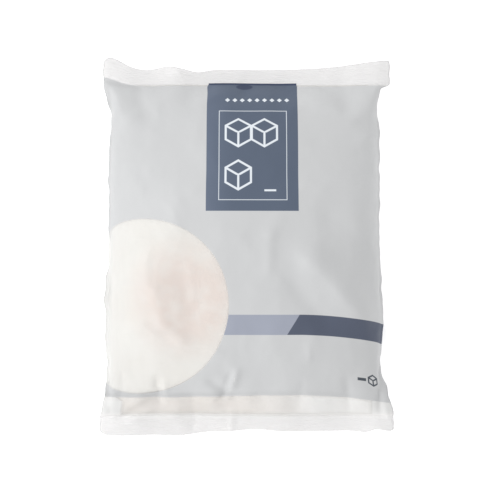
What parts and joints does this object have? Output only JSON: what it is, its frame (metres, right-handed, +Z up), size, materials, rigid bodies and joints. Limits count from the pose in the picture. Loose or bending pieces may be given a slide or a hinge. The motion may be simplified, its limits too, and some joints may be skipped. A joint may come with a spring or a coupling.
{
  "type": "sugar packet",
  "caption": "Filled pillow bag of granulated sugar in printed film, lying on its back, with flat crimped end seals, flared seal corners and a round clear window over the sugar.",
  "frame": {"origin": "on the ground under the middle of the bag's outline", "axes": "+Z up through the printed front, +Y towards the top seal, +X to the right of the printed front"},
  "size_m": [0.1876, 0.2413, 0.0445],
  "materials": {
    "film": "satin printed film"
  },
  "bodies": {
    "root": {"sugar_bag": "film"}
  },
  "joints": []
}
